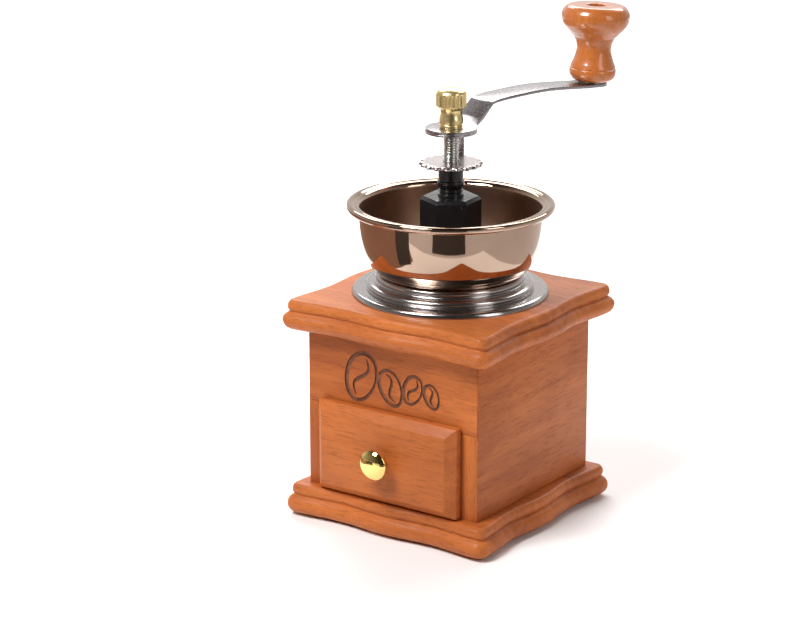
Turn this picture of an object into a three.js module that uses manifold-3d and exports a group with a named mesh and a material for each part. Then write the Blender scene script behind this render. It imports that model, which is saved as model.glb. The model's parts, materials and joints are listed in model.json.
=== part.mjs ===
// Hand-cranked burr coffee grinder: a wooden box with a drawer, an open steel bowl on top,
// a conical burr set under the lid, and a crank on a threaded shaft.
// Millimetres, +Z up. The origin is the centre of the face that the grinder stands on.
// The drawer opens towards -Y.
import * as THREE from "three";
import { mergeVertices } from "three/addons/utils/BufferGeometryUtils.js";
import Module from "manifold-3d";

const wasm = await Module();
wasm.setup();

// ---- Driving dimensions ----
const fit_gap = 0.3;            // around a screw, dowel or pin that is fixed in its hole
const running_gap = 0.1;        // radial, around what turns
const slide_gap = 0.4;          // around what slides

const pad_inset = 5.5;          // from the base plate's edge
const pad_thickness = 1;
const base_overhang = 7.8;      // beyond each side of the box
const lid_overhang = 8.55;
const board_thickness = 12;     // base plate and lid
const lip_height = 7;           // wide lower moulding of a board
const lip_edge = 3;
const bead_inset = 1.9;         // narrower upper moulding
const bead_edge = 1.6;
const board_corner = 4.5;
const board_wave = 1.6;         // depth of the shallow scoops along a board's sides

const box_width = 79.4;
const box_height = 64;
const panel_thickness = 8;
const rail_height = 29.5;       // upper front board

const stile_reveal = 0.2;       // how far a stile stands into the drawer's opening past its panel
const drawer_overlap = 1;       // how far the drawer front covers the frame at the sides
const drawer_top_overlap = 2.6;
const drawer_front_thickness = 6.5;
const drawer_chamfer = 3.5;
const drawer_depth = 62;
const drawer_side_thickness = 5;
const drawer_bottom_thickness = 3;
const drawer_head_room = 5.1;   // between the drawer's sides and the rail
const drawer_knob_radius = 6.1;
const drawer_knob_length = 8.2;
const drawer_screw_radius = 1.5;

const throat_radius = 21;       // hole in the lid that the beans fall through
const ring_radius = 38.8;
const hub_seat_width = 5.5;     // lid left between the throat and the ring, for the hub's flange
const ring_height = 8.2;
const bowl_height = 28.2;
const bowl_rim_radius = 40.7;
const bowl_wall = 0.9;

const hub_hex_radius = 12;      // across corners, halved
const hub_turn = 5;             // degrees
const hub_height = 38.7;        // above the lid
const hub_chamfer = 1.3;
const hub_flange_width = 4.7;
const hub_flange_thickness = 3;
const hub_leg_width = 5;
const hub_leg_height = 6;
const leg_angles = [90, 210, 330];
const hub_screw_angles = [30, 150, 270];

const shaft_radius = 3;
const sleeve_radius = 4.85;
const sleeve_top = 50.2;        // above the lid
const sleeve_foot = 6;
const collar_radius = 5.3;
const thrust_washer_thickness = 0.8;
const disc_radius = 12.6;
const disc_thickness = 1.4;
const scallop_count = 18;
const scallop_depth = 1.3;
const lock_height = 63.9;       // underside of the lock plate above the lid
const lock_radius = 10.2;
const lock_thickness = 0.8;
const lock_leg_width = 2.4;
const lock_leg_angle = 106;
const adjust_travel = 1;        // how far the spindle can drop for a coarse grind

const crank_angle = 74.5;
const crank_thickness = 1.2;
const crank_width = 12.4;
const crank_eye_radius = 10;
const crank_rise = 10.1;        // from the eye up to the top of the arch
const crank_seat = 5;           // flat of the eye under the nut
const crank_lower_bend = 10.2;
const crank_upper_bend = 15.3;
const crank_reach = 74;
const crank_end_drop = 2.2;     // how far the handle end sits below the top of the arch
const knob_tilt = 3;
const knob_height = 30.5;
const knob_bore = 2.4;
const bolt_radius = 2.2;
const rivet_radius = 3.6;       // peened end of the handle bolt, under the arm
const rivet_height = 0.9;
const nut_height = 15.7;
const nut_head_radius = 5.95;

const burr_height = 16;
const burr_top_radius = 8;
const burr_bottom_radius = 19;
const burr_gap = 0.6;
const burr_drop = 1;            // top of the inner burr below the lid's underside
const burr_grooves = 9;
const ring_burr_flange_width = 5.5;
const ring_burr_clearance = 1.2; // between its flange and the box
const ring_burr_flange_thickness = 3;
const burr_screw_angles = [90, 210, 330];
const screw_radius = 1.4;
const screw_head_radius = 2.4;
const spring_radius = 5.2;
const spring_wire = 0.55;
const spring_turns = 4;
const dowel_radius = 3;
const dowel_length = 12;
const base_screw_radius = 1.8;
const base_screw_head_radius = 3.4;
const base_screw_length = 24;

// ---- Levels and places worked out from them ----
const base_top = pad_thickness + board_thickness;
const lid_bottom = base_top + box_height;
const lid_top = lid_bottom + board_thickness;
const box_half = box_width / 2;
const cavity_half = box_half - panel_thickness;
const opening_half = cavity_half - stile_reveal;
const base_size = box_width + 2 * base_overhang;
const lid_size = box_width + 2 * lid_overhang;
const pad_size = base_size - 2 * pad_inset;
const rail_bottom = lid_bottom - rail_height;
const ring_top = lid_top + ring_height;
const ring_bore = throat_radius + hub_seat_width;
const ring_burr_flange_radius = cavity_half - ring_burr_clearance;
const ring_burr_radius = ring_burr_flange_radius - ring_burr_flange_width;
const disc_bottom = lid_top + sleeve_top + thrust_washer_thickness;
const disc_top = disc_bottom + disc_thickness;
const lock_bottom = lid_top + lock_height;
const crank_bottom = lock_bottom + lock_thickness;
const crank_top = crank_bottom + crank_thickness;
const burr_top = lid_bottom - burr_drop;
const burr_bottom = burr_top - burr_height;

// ---- Materials ----
const finishes = {
  wood: new THREE.MeshStandardMaterial({ color: 0xb5662f, roughness: 0.5, metalness: 0 }),
  inner_wood: new THREE.MeshStandardMaterial({ color: 0xc79a66, roughness: 0.7, metalness: 0 }),
  knob_wood: new THREE.MeshStandardMaterial({ color: 0xc06a28, roughness: 0.3, metalness: 0 }),
  steel: new THREE.MeshStandardMaterial({ color: 0xc8c6c2, roughness: 0.15, metalness: 1 }),
  chrome: new THREE.MeshStandardMaterial({ color: 0xd4d2ce, roughness: 0.08, metalness: 1 }),
  black_plastic: new THREE.MeshStandardMaterial({ color: 0x0c0c0d, roughness: 0.25, metalness: 0 }),
  brass: new THREE.MeshStandardMaterial({ color: 0xc9a24a, roughness: 0.2, metalness: 1 }),
  iron: new THREE.MeshStandardMaterial({ color: 0x4b4b4d, roughness: 0.6, metalness: 1 }),
  rubber: new THREE.MeshStandardMaterial({ color: 0x1b1b1b, roughness: 0.9, metalness: 0 }),
};

const grinder = new THREE.Group();

// ---- Shape helpers ----
const radians = THREE.MathUtils.degToRad;
const around_x = (radius, degrees) => radius * Math.cos(radians(degrees));
const around_y = (radius, degrees) => radius * Math.sin(radians(degrees));

function add_piece(name, shape, finish, parent = grinder) {
  const geometry = shape.isBufferGeometry ? shape : geometry_of(shape);
  const mesh = new THREE.Mesh(geometry, finishes[finish]);
  mesh.name = name;
  parent.add(mesh);
  return mesh;
}

// A closed three.js geometry as a solid that can be joined and cut.
function solid(geometry) {
  const bare = geometry.clone();
  bare.deleteAttribute("normal");
  bare.deleteAttribute("uv");
  const merged = mergeVertices(bare, 1e-4);
  const corners = merged.index.array;
  const triangles = [];
  for (let i = 0; i < corners.length; i += 3) {
    const [a, b, c] = [corners[i], corners[i + 1], corners[i + 2]];
    if (a !== b && b !== c && c !== a) triangles.push(a, b, c);
  }
  return new wasm.Manifold(new wasm.Mesh({
    numProp: 3,
    vertProperties: new Float32Array(merged.attributes.position.array),
    triVerts: new Uint32Array(triangles),
  }));
}

function geometry_of(manifold) {
  const mesh = manifold.getMesh();
  const geometry = new THREE.BufferGeometry();
  geometry.setAttribute("position", new THREE.BufferAttribute(mesh.vertProperties, 3));
  geometry.setIndex(new THREE.BufferAttribute(mesh.triVerts, 1));
  return geometry;
}

const join = (first, ...others) => others.reduce((whole, part) => whole.add(part), first);
const cut = (first, ...others) => others.reduce((whole, part) => whole.subtract(part), first);

// A piece turned on the Z axis from [radius, height] points, listed upwards along its outside.
function turned(profile, segments = 32) {
  const points = profile.map(([radius, height]) => new THREE.Vector2(radius, height));
  return new THREE.LatheGeometry(points, segments).rotateX(Math.PI / 2);
}

// The same for a ring, whose profile closes on itself.
const turned_ring = (profile, segments = 32) => turned([...profile, profile[0]], segments);

function rod(radius, bottom, top, x = 0, y = 0, segments = 24) {
  return new THREE.CylinderGeometry(radius, radius, top - bottom, segments)
    .rotateX(Math.PI / 2)
    .translate(x, y, (bottom + top) / 2);
}

function block(x0, x1, y0, y1, z0, z1) {
  return new THREE.BoxGeometry(x1 - x0, y1 - y0, z1 - z0)
    .translate((x0 + x1) / 2, (y0 + y1) / 2, (z0 + z1) / 2);
}

// A screw pointing down from its head; pieces that point up are turned over by the caller.
function screw(shank_radius, head_radius, length, segments = 12) {
  const head = head_radius * 0.8;
  return turned([
    [0, -length], [shank_radius, -length + shank_radius * 2], [shank_radius, 0],
    [head_radius, 0], [head_radius, head * 0.6], [head_radius * 0.7, head], [0, head],
  ], segments);
}

// ---- Wooden boards with moulded edges ----
// Each side of the outline is furthest out at its corners and its middle,
// and scooped in by board_wave a quarter of the way in from each end.
function scooped_outline(half, corner) {
  const side_steps = 8;
  const corner_steps = 2;
  const straight = half - corner;
  const points = [];
  for (let side = 0; side < 4; side += 1) {
    const turn = side * Math.PI / 2;
    const place = (along, out) => new THREE.Vector2(
      out * Math.cos(turn) - along * Math.sin(turn),
      out * Math.sin(turn) + along * Math.cos(turn));
    for (let i = 0; i < side_steps; i += 1) {
      const t = -1 + 2 * i / side_steps;
      points.push(place(straight * t, half - board_wave * (1 - Math.cos(2 * Math.PI * t)) / 2));
    }
    for (let i = 0; i < corner_steps; i += 1) {
      const angle = i / corner_steps * Math.PI / 2;
      points.push(place(straight + corner * Math.sin(angle), straight + corner * Math.cos(angle)));
    }
  }
  return new THREE.Shape(points);
}

function rounded_layer(size, bottom, top, edge) {
  return solid(new THREE.ExtrudeGeometry(scooped_outline(size / 2 - edge, board_corner - edge), {
    depth: top - bottom - 2 * edge,
    bevelSize: edge,
    bevelThickness: edge,
    bevelSegments: 2,
    curveSegments: 1,
  }).translate(0, 0, bottom + edge));
}

function moulded_board(size, bottom) {
  const bead_bottom = bottom + lip_height - bead_edge / 2;
  return join(
    rounded_layer(size, bottom, bottom + lip_height, lip_edge),
    rounded_layer(size - 2 * bead_inset, bead_bottom, bottom + board_thickness, bead_edge));
}

// A board of the box, mitred at both ends. Quarter turns carry it round from the front.
function mitred_board(bottom, top, quarter_turns = 0) {
  const inner = box_half - panel_thickness;
  const plan = new THREE.Shape([
    new THREE.Vector2(-box_half, -box_half), new THREE.Vector2(box_half, -box_half),
    new THREE.Vector2(inner, -inner), new THREE.Vector2(-inner, -inner),
  ]);
  return solid(new THREE.ExtrudeGeometry(plan, { depth: top - bottom, bevelEnabled: false })
    .rotateZ(quarter_turns * Math.PI / 2).translate(0, 0, bottom));
}

function add_box() {
  const pad_half = pad_size / 2;
  const panel_middle = box_half - panel_thickness / 2;
  const side_half = box_half - panel_thickness;
  const screw_y = side_half * 0.75;
  const dowel_y = side_half * 0.6;

  add_piece("base_pad", block(-pad_half, pad_half, -pad_half, pad_half, 0, pad_thickness), "rubber");

  const screw_head_depth = base_screw_head_radius * 0.8 + fit_gap;
  const screw_seat = pad_thickness + screw_head_depth;
  let base = moulded_board(base_size, pad_thickness);
  let lid = cut(moulded_board(lid_size, lid_bottom),
    solid(rod(throat_radius, lid_bottom - 1, lid_top + 1, 0, 0, 36)));
  const panels = {};
  for (const side of [-1, 1]) {
    panels[side] = mitred_board(base_top, lid_bottom, side);
    for (const end of [-1, 1]) {
      const [x, y] = [side * panel_middle, end * screw_y];
      const hole = solid(rod(base_screw_radius + fit_gap, pad_thickness - 1,
        screw_seat + base_screw_length + fit_gap, x, y, 12));
      const counterbore = solid(rod(base_screw_head_radius + fit_gap, pad_thickness - 1, screw_seat, x, y, 16));
      base = cut(base, hole, counterbore);
      panels[side] = cut(panels[side], hole);
      const piece = add_piece(`base_screw_${2 + side + (end + 1) / 2}`,
        screw(base_screw_radius, base_screw_head_radius, base_screw_length), "iron");
      piece.rotation.x = Math.PI;
      piece.position.set(x, y, screw_seat - fit_gap / 3);

      const dowel_place = [side * panel_middle, end * dowel_y];
      const dowel_bottom = lid_bottom - dowel_length / 2;
      const dowel_top = lid_bottom + dowel_length / 2;
      const dowel_hole = solid(rod(dowel_radius + fit_gap / 2,
        dowel_bottom - fit_gap, dowel_top + fit_gap, ...dowel_place, 16));
      lid = cut(lid, dowel_hole);
      panels[side] = cut(panels[side], dowel_hole);
      add_piece(`lid_dowel_${2 + side + (end + 1) / 2}`,
        rod(dowel_radius, dowel_bottom, dowel_top, ...dowel_place, 16), "inner_wood");
    }
  }
  for (const degrees of burr_screw_angles) {
    const radius = burr_screw_radius();
    lid = cut(lid, solid(rod(screw_radius + fit_gap, lid_bottom - 1, lid_bottom + 8,
      around_x(radius, degrees), around_y(radius, degrees), 12)));
  }
  for (const degrees of hub_screw_angles) {
    const radius = hub_screw_radius();
    lid = cut(lid, solid(rod(screw_radius + fit_gap, lid_top - 9, lid_top + 1,
      around_x(radius, degrees), around_y(radius, degrees), 12)));
  }
  add_piece("base_plate", base, "wood");
  add_piece("left_panel", panels[-1], "wood");
  add_piece("right_panel", panels[1], "wood");
  add_piece("back_panel", mitred_board(base_top, lid_bottom, 2), "wood");
  add_piece("front_rail", mitred_board(rail_bottom, lid_bottom), "wood");
  const stile_board = mitred_board(base_top, rail_bottom);
  for (const [name, x0, x1] of [["left", -box_half - 1, -opening_half], ["right", opening_half, box_half + 1]]) {
    const reach = solid(block(x0, x1, -box_half - 1, 0, base_top - 1, rail_bottom + 1));
    add_piece(`front_${name}_stile`, stile_board.intersect(reach), "wood");
  }
  add_piece("top_plate", lid, "wood");
}

// ---- Drawer ----
function add_drawer() {
  const front_back = -box_half - slide_gap;
  const front_face = front_back - drawer_front_thickness;
  const front_half = opening_half + drawer_overlap;
  const front_bottom = base_top + 0.6;
  const front_top = rail_bottom + drawer_top_overlap;
  const body_half = opening_half - slide_gap;
  const body_bottom = base_top + slide_gap;
  const side_top = rail_bottom - drawer_head_room;
  const inner_half = body_half - drawer_side_thickness;
  const body_end = front_back + drawer_depth;
  const floor_bottom = body_bottom + 2;

  // The front is bevelled on its outer edges only.
  const outline = new THREE.Shape([
    new THREE.Vector2(-front_half + drawer_chamfer, front_bottom + drawer_chamfer),
    new THREE.Vector2(front_half - drawer_chamfer, front_bottom + drawer_chamfer),
    new THREE.Vector2(front_half - drawer_chamfer, front_top - drawer_chamfer),
    new THREE.Vector2(-front_half + drawer_chamfer, front_top - drawer_chamfer),
  ]);
  const bevelled = new THREE.ExtrudeGeometry(outline, {
    depth: drawer_front_thickness,
    bevelSize: drawer_chamfer,
    bevelThickness: drawer_chamfer,
    bevelSegments: 1,
  }).rotateX(Math.PI / 2).translate(0, front_face + drawer_chamfer + drawer_front_thickness, 0);
  const knob_z = (front_bottom + front_top) / 2;
  const screw_hole = solid(rod(drawer_screw_radius + fit_gap, -60, 60, 0, 0, 12)
    .rotateX(Math.PI / 2).translate(0, 0, knob_z));
  const front = cut(solid(bevelled), screw_hole,
    solid(block(-front_half - 1, front_half + 1, front_back, 0, front_bottom - 1, front_top + 1)));
  add_piece("drawer_front", front, "wood");

  for (const [name, side] of [["left", -1], ["right", 1]]) {
    const x0 = side < 0 ? -body_half : inner_half;
    add_piece(`drawer_${name}_side`,
      block(x0, x0 + drawer_side_thickness, front_back, body_end, body_bottom, side_top), "inner_wood");
  }
  add_piece("drawer_back", block(-inner_half, inner_half, body_end - drawer_side_thickness, body_end,
    body_bottom, side_top), "inner_wood");
  add_piece("drawer_bottom", block(-inner_half, inner_half, front_back, body_end - drawer_side_thickness,
    floor_bottom, floor_bottom + drawer_bottom_thickness), "inner_wood");

  // Knob and screw are turned on Z, then laid along -Y.
  const knob_radius = drawer_knob_radius;
  const length = drawer_knob_length;
  const blind = length * 0.6;
  const stem_radius = drawer_screw_radius + fit_gap + 0.8;
  const knob = cut(
    solid(turned([
      [0, 0], [stem_radius, 0], [stem_radius * 0.9, length * 0.1], [stem_radius * 0.85, length * 0.45],
      [stem_radius * 1.2, length * 0.55], [knob_radius * 0.9, length * 0.62], [knob_radius, length * 0.68],
      [knob_radius * 0.97, length * 0.76], [knob_radius * 0.75, length * 0.9], [knob_radius * 0.4, length * 0.98],
      [0, length],
    ], 24)),
    solid(rod(drawer_screw_radius + fit_gap, -1, blind, 0, 0, 12)));
  const knob_mesh = add_piece("drawer_knob", knob, "brass");
  knob_mesh.rotation.x = Math.PI / 2;
  knob_mesh.position.set(0, front_face - fit_gap / 6, knob_z);

  const screw_mesh = add_piece("drawer_knob_screw",
    screw(drawer_screw_radius, screw_head_radius, drawer_front_thickness + blind - fit_gap * 2), "iron");
  screw_mesh.rotation.x = -Math.PI / 2;
  screw_mesh.position.set(0, front_back + fit_gap / 6, knob_z);
}

// ---- Bowl and its stepped ring ----
function add_bowl() {
  // Both profiles are set out as shares of the room between the bore and the outer edge.
  const step = (inwards, up) => [
    ring_radius - (ring_radius - ring_bore) * inwards, lid_top + ring_height * up];
  add_piece("hopper_base_ring", turned_ring([
    [ring_bore, lid_top], step(0, 0), step(0.025, 0.13), step(0.09, 0.24), step(0.16, 0.28),
    step(0.51, 0.3), step(0.48, 0.43), step(0.51, 0.55), step(0.59, 0.62), step(0.8, 0.68),
    step(0.765, 0.82), step(0.79, 0.94), step(0.86, 1), [ring_bore, ring_top],
  ], 36), "chrome");

  const rim = bowl_rim_radius;
  const top = ring_top + bowl_height;
  const wall_top = rim - 4.8;
  const t = bowl_wall;
  const belly = (outwards, up, inset = 0) => [
    ring_bore + (wall_top - ring_bore) * outwards - inset, ring_top + (bowl_height - 3.5) * up];
  add_piece("hopper_bowl", turned_ring([
    [ring_bore, ring_top], belly(0.17, 0), belly(0.34, 0.045), belly(0.48, 0.1), belly(0.64, 0.21),
    belly(0.77, 0.33), belly(0.87, 0.47), belly(0.945, 0.63), belly(0.99, 0.81), belly(1, 1),
    [rim - 4, top - 3], [rim - 0.6, top - 3], [rim, top - 2.2], [rim, top - 0.9], [rim - 0.9, top],
    [rim - 3.8, top], [wall_top - t, top - 1.2], belly(0.99, 0.81, t), belly(0.945, 0.64, t),
    belly(0.87, 0.49, t), belly(0.76, 0.35, t), belly(0.63, 0.24, t), belly(0.4, 0.14), belly(0.28, 0.085),
    belly(0.13, 0.04), [ring_bore, ring_top + t],
  ], 36), "chrome");
}

// ---- Hub that carries the shaft in the middle of the bowl ----
const hub_flange_outer = () => ring_bore - fit_gap;
const hub_screw_radius = () => hub_flange_outer() - hub_flange_width / 2;

function add_hub() {
  const outer = hub_flange_outer();
  const flange_top = lid_top + hub_flange_thickness;
  const top = lid_top + hub_height;
  const leg_top = flange_top + hub_leg_height - hub_flange_thickness;
  const hex = (radius_bottom, radius_top, bottom, height) => solid(
    new THREE.CylinderGeometry(radius_top, radius_bottom, height, 6)
      .rotateX(Math.PI / 2).rotateZ(radians(hub_turn)).translate(0, 0, bottom + height / 2));
  const flange = solid(turned_ring([
    [outer - hub_flange_width, lid_top], [outer, lid_top], [outer, flange_top],
    [outer - hub_flange_width, flange_top],
  ], 36));
  const legs = leg_angles.map((degrees) => solid(
    block(shaft_radius, outer - hub_flange_width / 2, -hub_leg_width / 2, hub_leg_width / 2, lid_top, leg_top)
      .rotateZ(radians(degrees))));
  const bores = [
    solid(rod(shaft_radius + fit_gap * 2, lid_top - 1, top + 1)),
    solid(rod(sleeve_radius + fit_gap, lid_top + sleeve_foot, top + 1)),
    ...hub_screw_angles.map((degrees) => solid(rod(screw_radius + fit_gap, lid_top - 1, flange_top + 1,
      around_x(hub_screw_radius(), degrees), around_y(hub_screw_radius(), degrees), 12))),
  ];
  const hub = cut(join(
    hex(hub_hex_radius, hub_hex_radius, lid_top + hub_flange_thickness, hub_height - hub_flange_thickness
      - hub_chamfer),
    hex(hub_hex_radius, hub_hex_radius - hub_chamfer, top - hub_chamfer, hub_chamfer),
    flange, ...legs), ...bores);
  add_piece("bearing_hub", hub, "black_plastic");

  hub_screw_angles.forEach((degrees, index) => {
    const piece = add_piece(`hub_screw_${index + 1}`,
      screw(screw_radius, screw_head_radius, hub_flange_thickness + 8), "steel");
    piece.position.set(around_x(hub_screw_radius(), degrees), around_y(hub_screw_radius(), degrees), flange_top);
  });

  const foot = lid_top + sleeve_foot;
  const sleeve_end = lid_top + sleeve_top;
  const bore = shaft_radius + running_gap;
  const collar = top + 4.2;
  add_piece("bearing_sleeve", turned_ring([
    [bore, foot], [sleeve_radius, foot], [sleeve_radius, collar], [collar_radius, collar + 0.2],
    [collar_radius, collar + 2], [sleeve_radius, collar + 2.2], [sleeve_radius, sleeve_end], [bore, sleeve_end],
  ], 24), "black_plastic");
  add_piece("thrust_washer", turned_ring([
    [bore + running_gap, sleeve_end], [sleeve_radius, sleeve_end], [sleeve_radius, disc_bottom],
    [bore + running_gap, disc_bottom],
  ], 24), "steel");
}

// ---- Grind adjuster: a scalloped disc, and the plate that locks it to the shaft ----
function add_adjuster() {
  const points_per_scallop = 4;
  const count = scallop_count * points_per_scallop;
  const points = [];
  for (let i = 0; i < count; i += 1) {
    const angle = 2 * Math.PI * i / count;
    const phase = scallop_count * (angle - radians(lock_leg_angle));
    const radius = disc_radius - scallop_depth * (1 + Math.cos(phase)) / 2;
    points.push(new THREE.Vector2(radius * Math.cos(angle), radius * Math.sin(angle)));
  }
  const disc = new THREE.ExtrudeGeometry(new THREE.Shape(points), { depth: disc_thickness, bevelEnabled: false })
    .translate(0, 0, disc_bottom);
  add_piece("adjusting_disc",
    cut(solid(disc), solid(rod(shaft_radius + running_gap * 2, disc_bottom - 1, disc_top + 1))), "chrome");

  const leg_inner = disc_radius - scallop_depth + 0.95;
  const leg_outer = leg_inner + lock_thickness;
  const leg_half = lock_leg_width / 2;
  const plate = join(
    solid(rod(lock_radius, lock_bottom, lock_bottom + lock_thickness, 0, 0, 32)),
    solid(block(0, leg_outer, -leg_half, leg_half, lock_bottom, lock_bottom + lock_thickness)
      .rotateZ(radians(lock_leg_angle))),
    solid(block(leg_inner, leg_outer, -leg_half, leg_half, disc_bottom + 0.2, lock_bottom + lock_thickness)
      .rotateZ(radians(lock_leg_angle))));
  add_piece("lock_plate", cut(plate, flatted_hole(lock_bottom - 1, crank_bottom + 1)), "steel");
}

// The shaft has two flats where the lock plate and the crank sit, so they can't turn on it.
const flat_half = () => shaft_radius * 0.75;

function flatted_hole(bottom, top) {
  const wide = flat_half() + fit_gap / 2;
  return solid(rod(shaft_radius + fit_gap / 2, bottom, top))
    .intersect(solid(block(-wide, wide, -shaft_radius * 2, shaft_radius * 2, bottom, top)));
}

// ---- Crank, thumb nut and handle ----
// Centre line of the bent strip, [distance from the axis, height above the eye's middle].
function crank_line() {
  const end_slope = Math.tan(radians(knob_tilt));
  const end_height = crank_rise - crank_end_drop;
  const beyond = crank_width / 2 + 1;
  const arch = [
    new THREE.Vector2(crank_upper_bend, crank_rise - 1.8),
    new THREE.Vector2(crank_upper_bend + 2.2, crank_rise - 0.9),
    new THREE.Vector2(crank_upper_bend + 12, crank_rise - 0.15),
    new THREE.Vector2(crank_reach * 0.62, crank_rise),
    new THREE.Vector2(crank_reach - beyond, end_height + beyond * end_slope),
  ];
  return [
    new THREE.Vector2(-crank_eye_radius - 1, 0),
    new THREE.Vector2(crank_seat - 0.4, 0),
    new THREE.Vector2(crank_seat + 0.6, crank_rise * 0.03),
    new THREE.Vector2(crank_lower_bend - 0.4, crank_rise * 0.29),
    new THREE.Vector2(crank_lower_bend + 0.4, crank_rise * 0.35),
    ...new THREE.SplineCurve(arch).getPoints(16),
    new THREE.Vector2(crank_reach + beyond, end_height - beyond * end_slope),
  ];
}

function strip_outline(line, thickness) {
  const side = (sign) => line.map((point, index) => {
    const before = line[Math.max(index - 1, 0)];
    const after = line[Math.min(index + 1, line.length - 1)];
    const along = after.clone().sub(before).normalize();
    return new THREE.Vector2(point.x - sign * along.y * thickness / 2, point.y + sign * along.x * thickness / 2);
  });
  return new THREE.Shape([...side(-1), ...side(1).reverse()]);
}

function crank_plan() {
  const half = crank_width / 2;
  const meet = Math.asin(half / crank_eye_radius);
  const plan = new THREE.Shape();
  plan.absarc(0, 0, crank_eye_radius, meet, 2 * Math.PI - meet, false);
  plan.absarc(crank_reach, 0, half, -Math.PI / 2, Math.PI / 2, false);
  return plan;
}

function add_crank() {
  const tall = 40;
  const middle = crank_bottom + crank_thickness / 2;
  const strip = new THREE.ExtrudeGeometry(strip_outline(crank_line(), crank_thickness),
    { depth: crank_eye_radius * 2 + 2, bevelEnabled: false })
    .rotateX(Math.PI / 2).translate(0, crank_eye_radius + 1, middle);
  const plan = new THREE.ExtrudeGeometry(crank_plan(), { depth: tall, bevelEnabled: false, curveSegments: 14 })
    .translate(0, 0, crank_bottom - tall / 4);
  const handle_height = crank_rise - crank_end_drop + crank_thickness / 2;

  const crank = new THREE.Group();
  crank.rotation.z = radians(crank_angle);
  grinder.add(crank);
  const bolt_hole = solid(rod(bolt_radius + fit_gap / 2, -10, 10)
    .rotateY(radians(knob_tilt)).translate(crank_reach, 0, middle + handle_height));
  const arm = cut(solid(strip).intersect(solid(plan)), bolt_hole,
    flatted_hole(crank_bottom - 1, crank_top + 1).rotate([0, 0, -crank_angle]));
  add_piece("crank_arm", arm, "steel", crank);

  // The handle stands on the end of the arm and leans outwards with it.
  const handle = new THREE.Group();
  handle.position.set(crank_reach, 0, middle + handle_height);
  handle.rotation.y = radians(knob_tilt);
  crank.add(handle);
  const washer_thickness = 0.3;
  const knob_foot = washer_thickness + 0.2;
  add_piece("handle_washer", turned_ring([
    [knob_bore, 0.1], [5.6, 0.1], [5.6, 0.1 + washer_thickness], [knob_bore, 0.1 + washer_thickness],
  ], 24), "steel", handle);

  const recess_radius = 3.7;
  const recess_floor = knob_height - 7;
  const k = knob_foot;
  add_piece("handle_knob", turned_ring([
    [knob_bore, k], [6.9, k], [8.7, k + 1.4], [9.4, k + 3], [9.4, k + 4.8], [8.7, k + 6.8], [7.95, k + 8.5],
    [7.2, k + 11.3], [7, k + 13.4], [7.3, k + 15.5], [8.2, k + 17.5], [10.7, k + 20.1], [12.9, k + 22.7],
    [13.85, k + 25.6], [13.3, k + 28.1], [12, k + 29.7], [10.5, k + knob_height], [recess_radius, k + knob_height],
    [recess_radius, k + recess_floor], [knob_bore, k + recess_floor],
  ], 24), "knob_wood", handle);

  const bolt_top = k + recess_floor + 0.2;
  const rivet_top = -crank_thickness - 0.15;
  add_piece("handle_bolt", turned([
    [0, rivet_top - rivet_height], [rivet_radius * 0.7, rivet_top - rivet_height * 0.75],
    [rivet_radius, rivet_top], [bolt_radius, rivet_top],
    [bolt_radius, bolt_top], [recess_radius - 0.4, bolt_top],
    [recess_radius - 0.4, bolt_top + 1.2], [1.6, bolt_top + 2.2], [0, bolt_top + 2.3],
  ], 24), "steel", handle);
  const n = crank_top;
  const top = n + nut_height;
  const bore = shaft_radius + running_gap;
  add_piece("thumb_nut", cut(solid(turned([
    [0, n], [4.5, n], [4.5, n + 1.2], [4.3, n + 1.5], [4.75, n + 1.9], [4.75, n + 3.2],
    [4.25, n + 5], [4.15, n + 6.4], [4.6, n + 7.4], [nut_head_radius, n + 8.5],
    [nut_head_radius, top - 2.4], [5.4, top - 1.3], [4, top - 0.4], [2, top - 0.1], [0, top],
  ], 24)), solid(rod(bore, n - 1, n + 9.5))), "brass");
}

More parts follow.
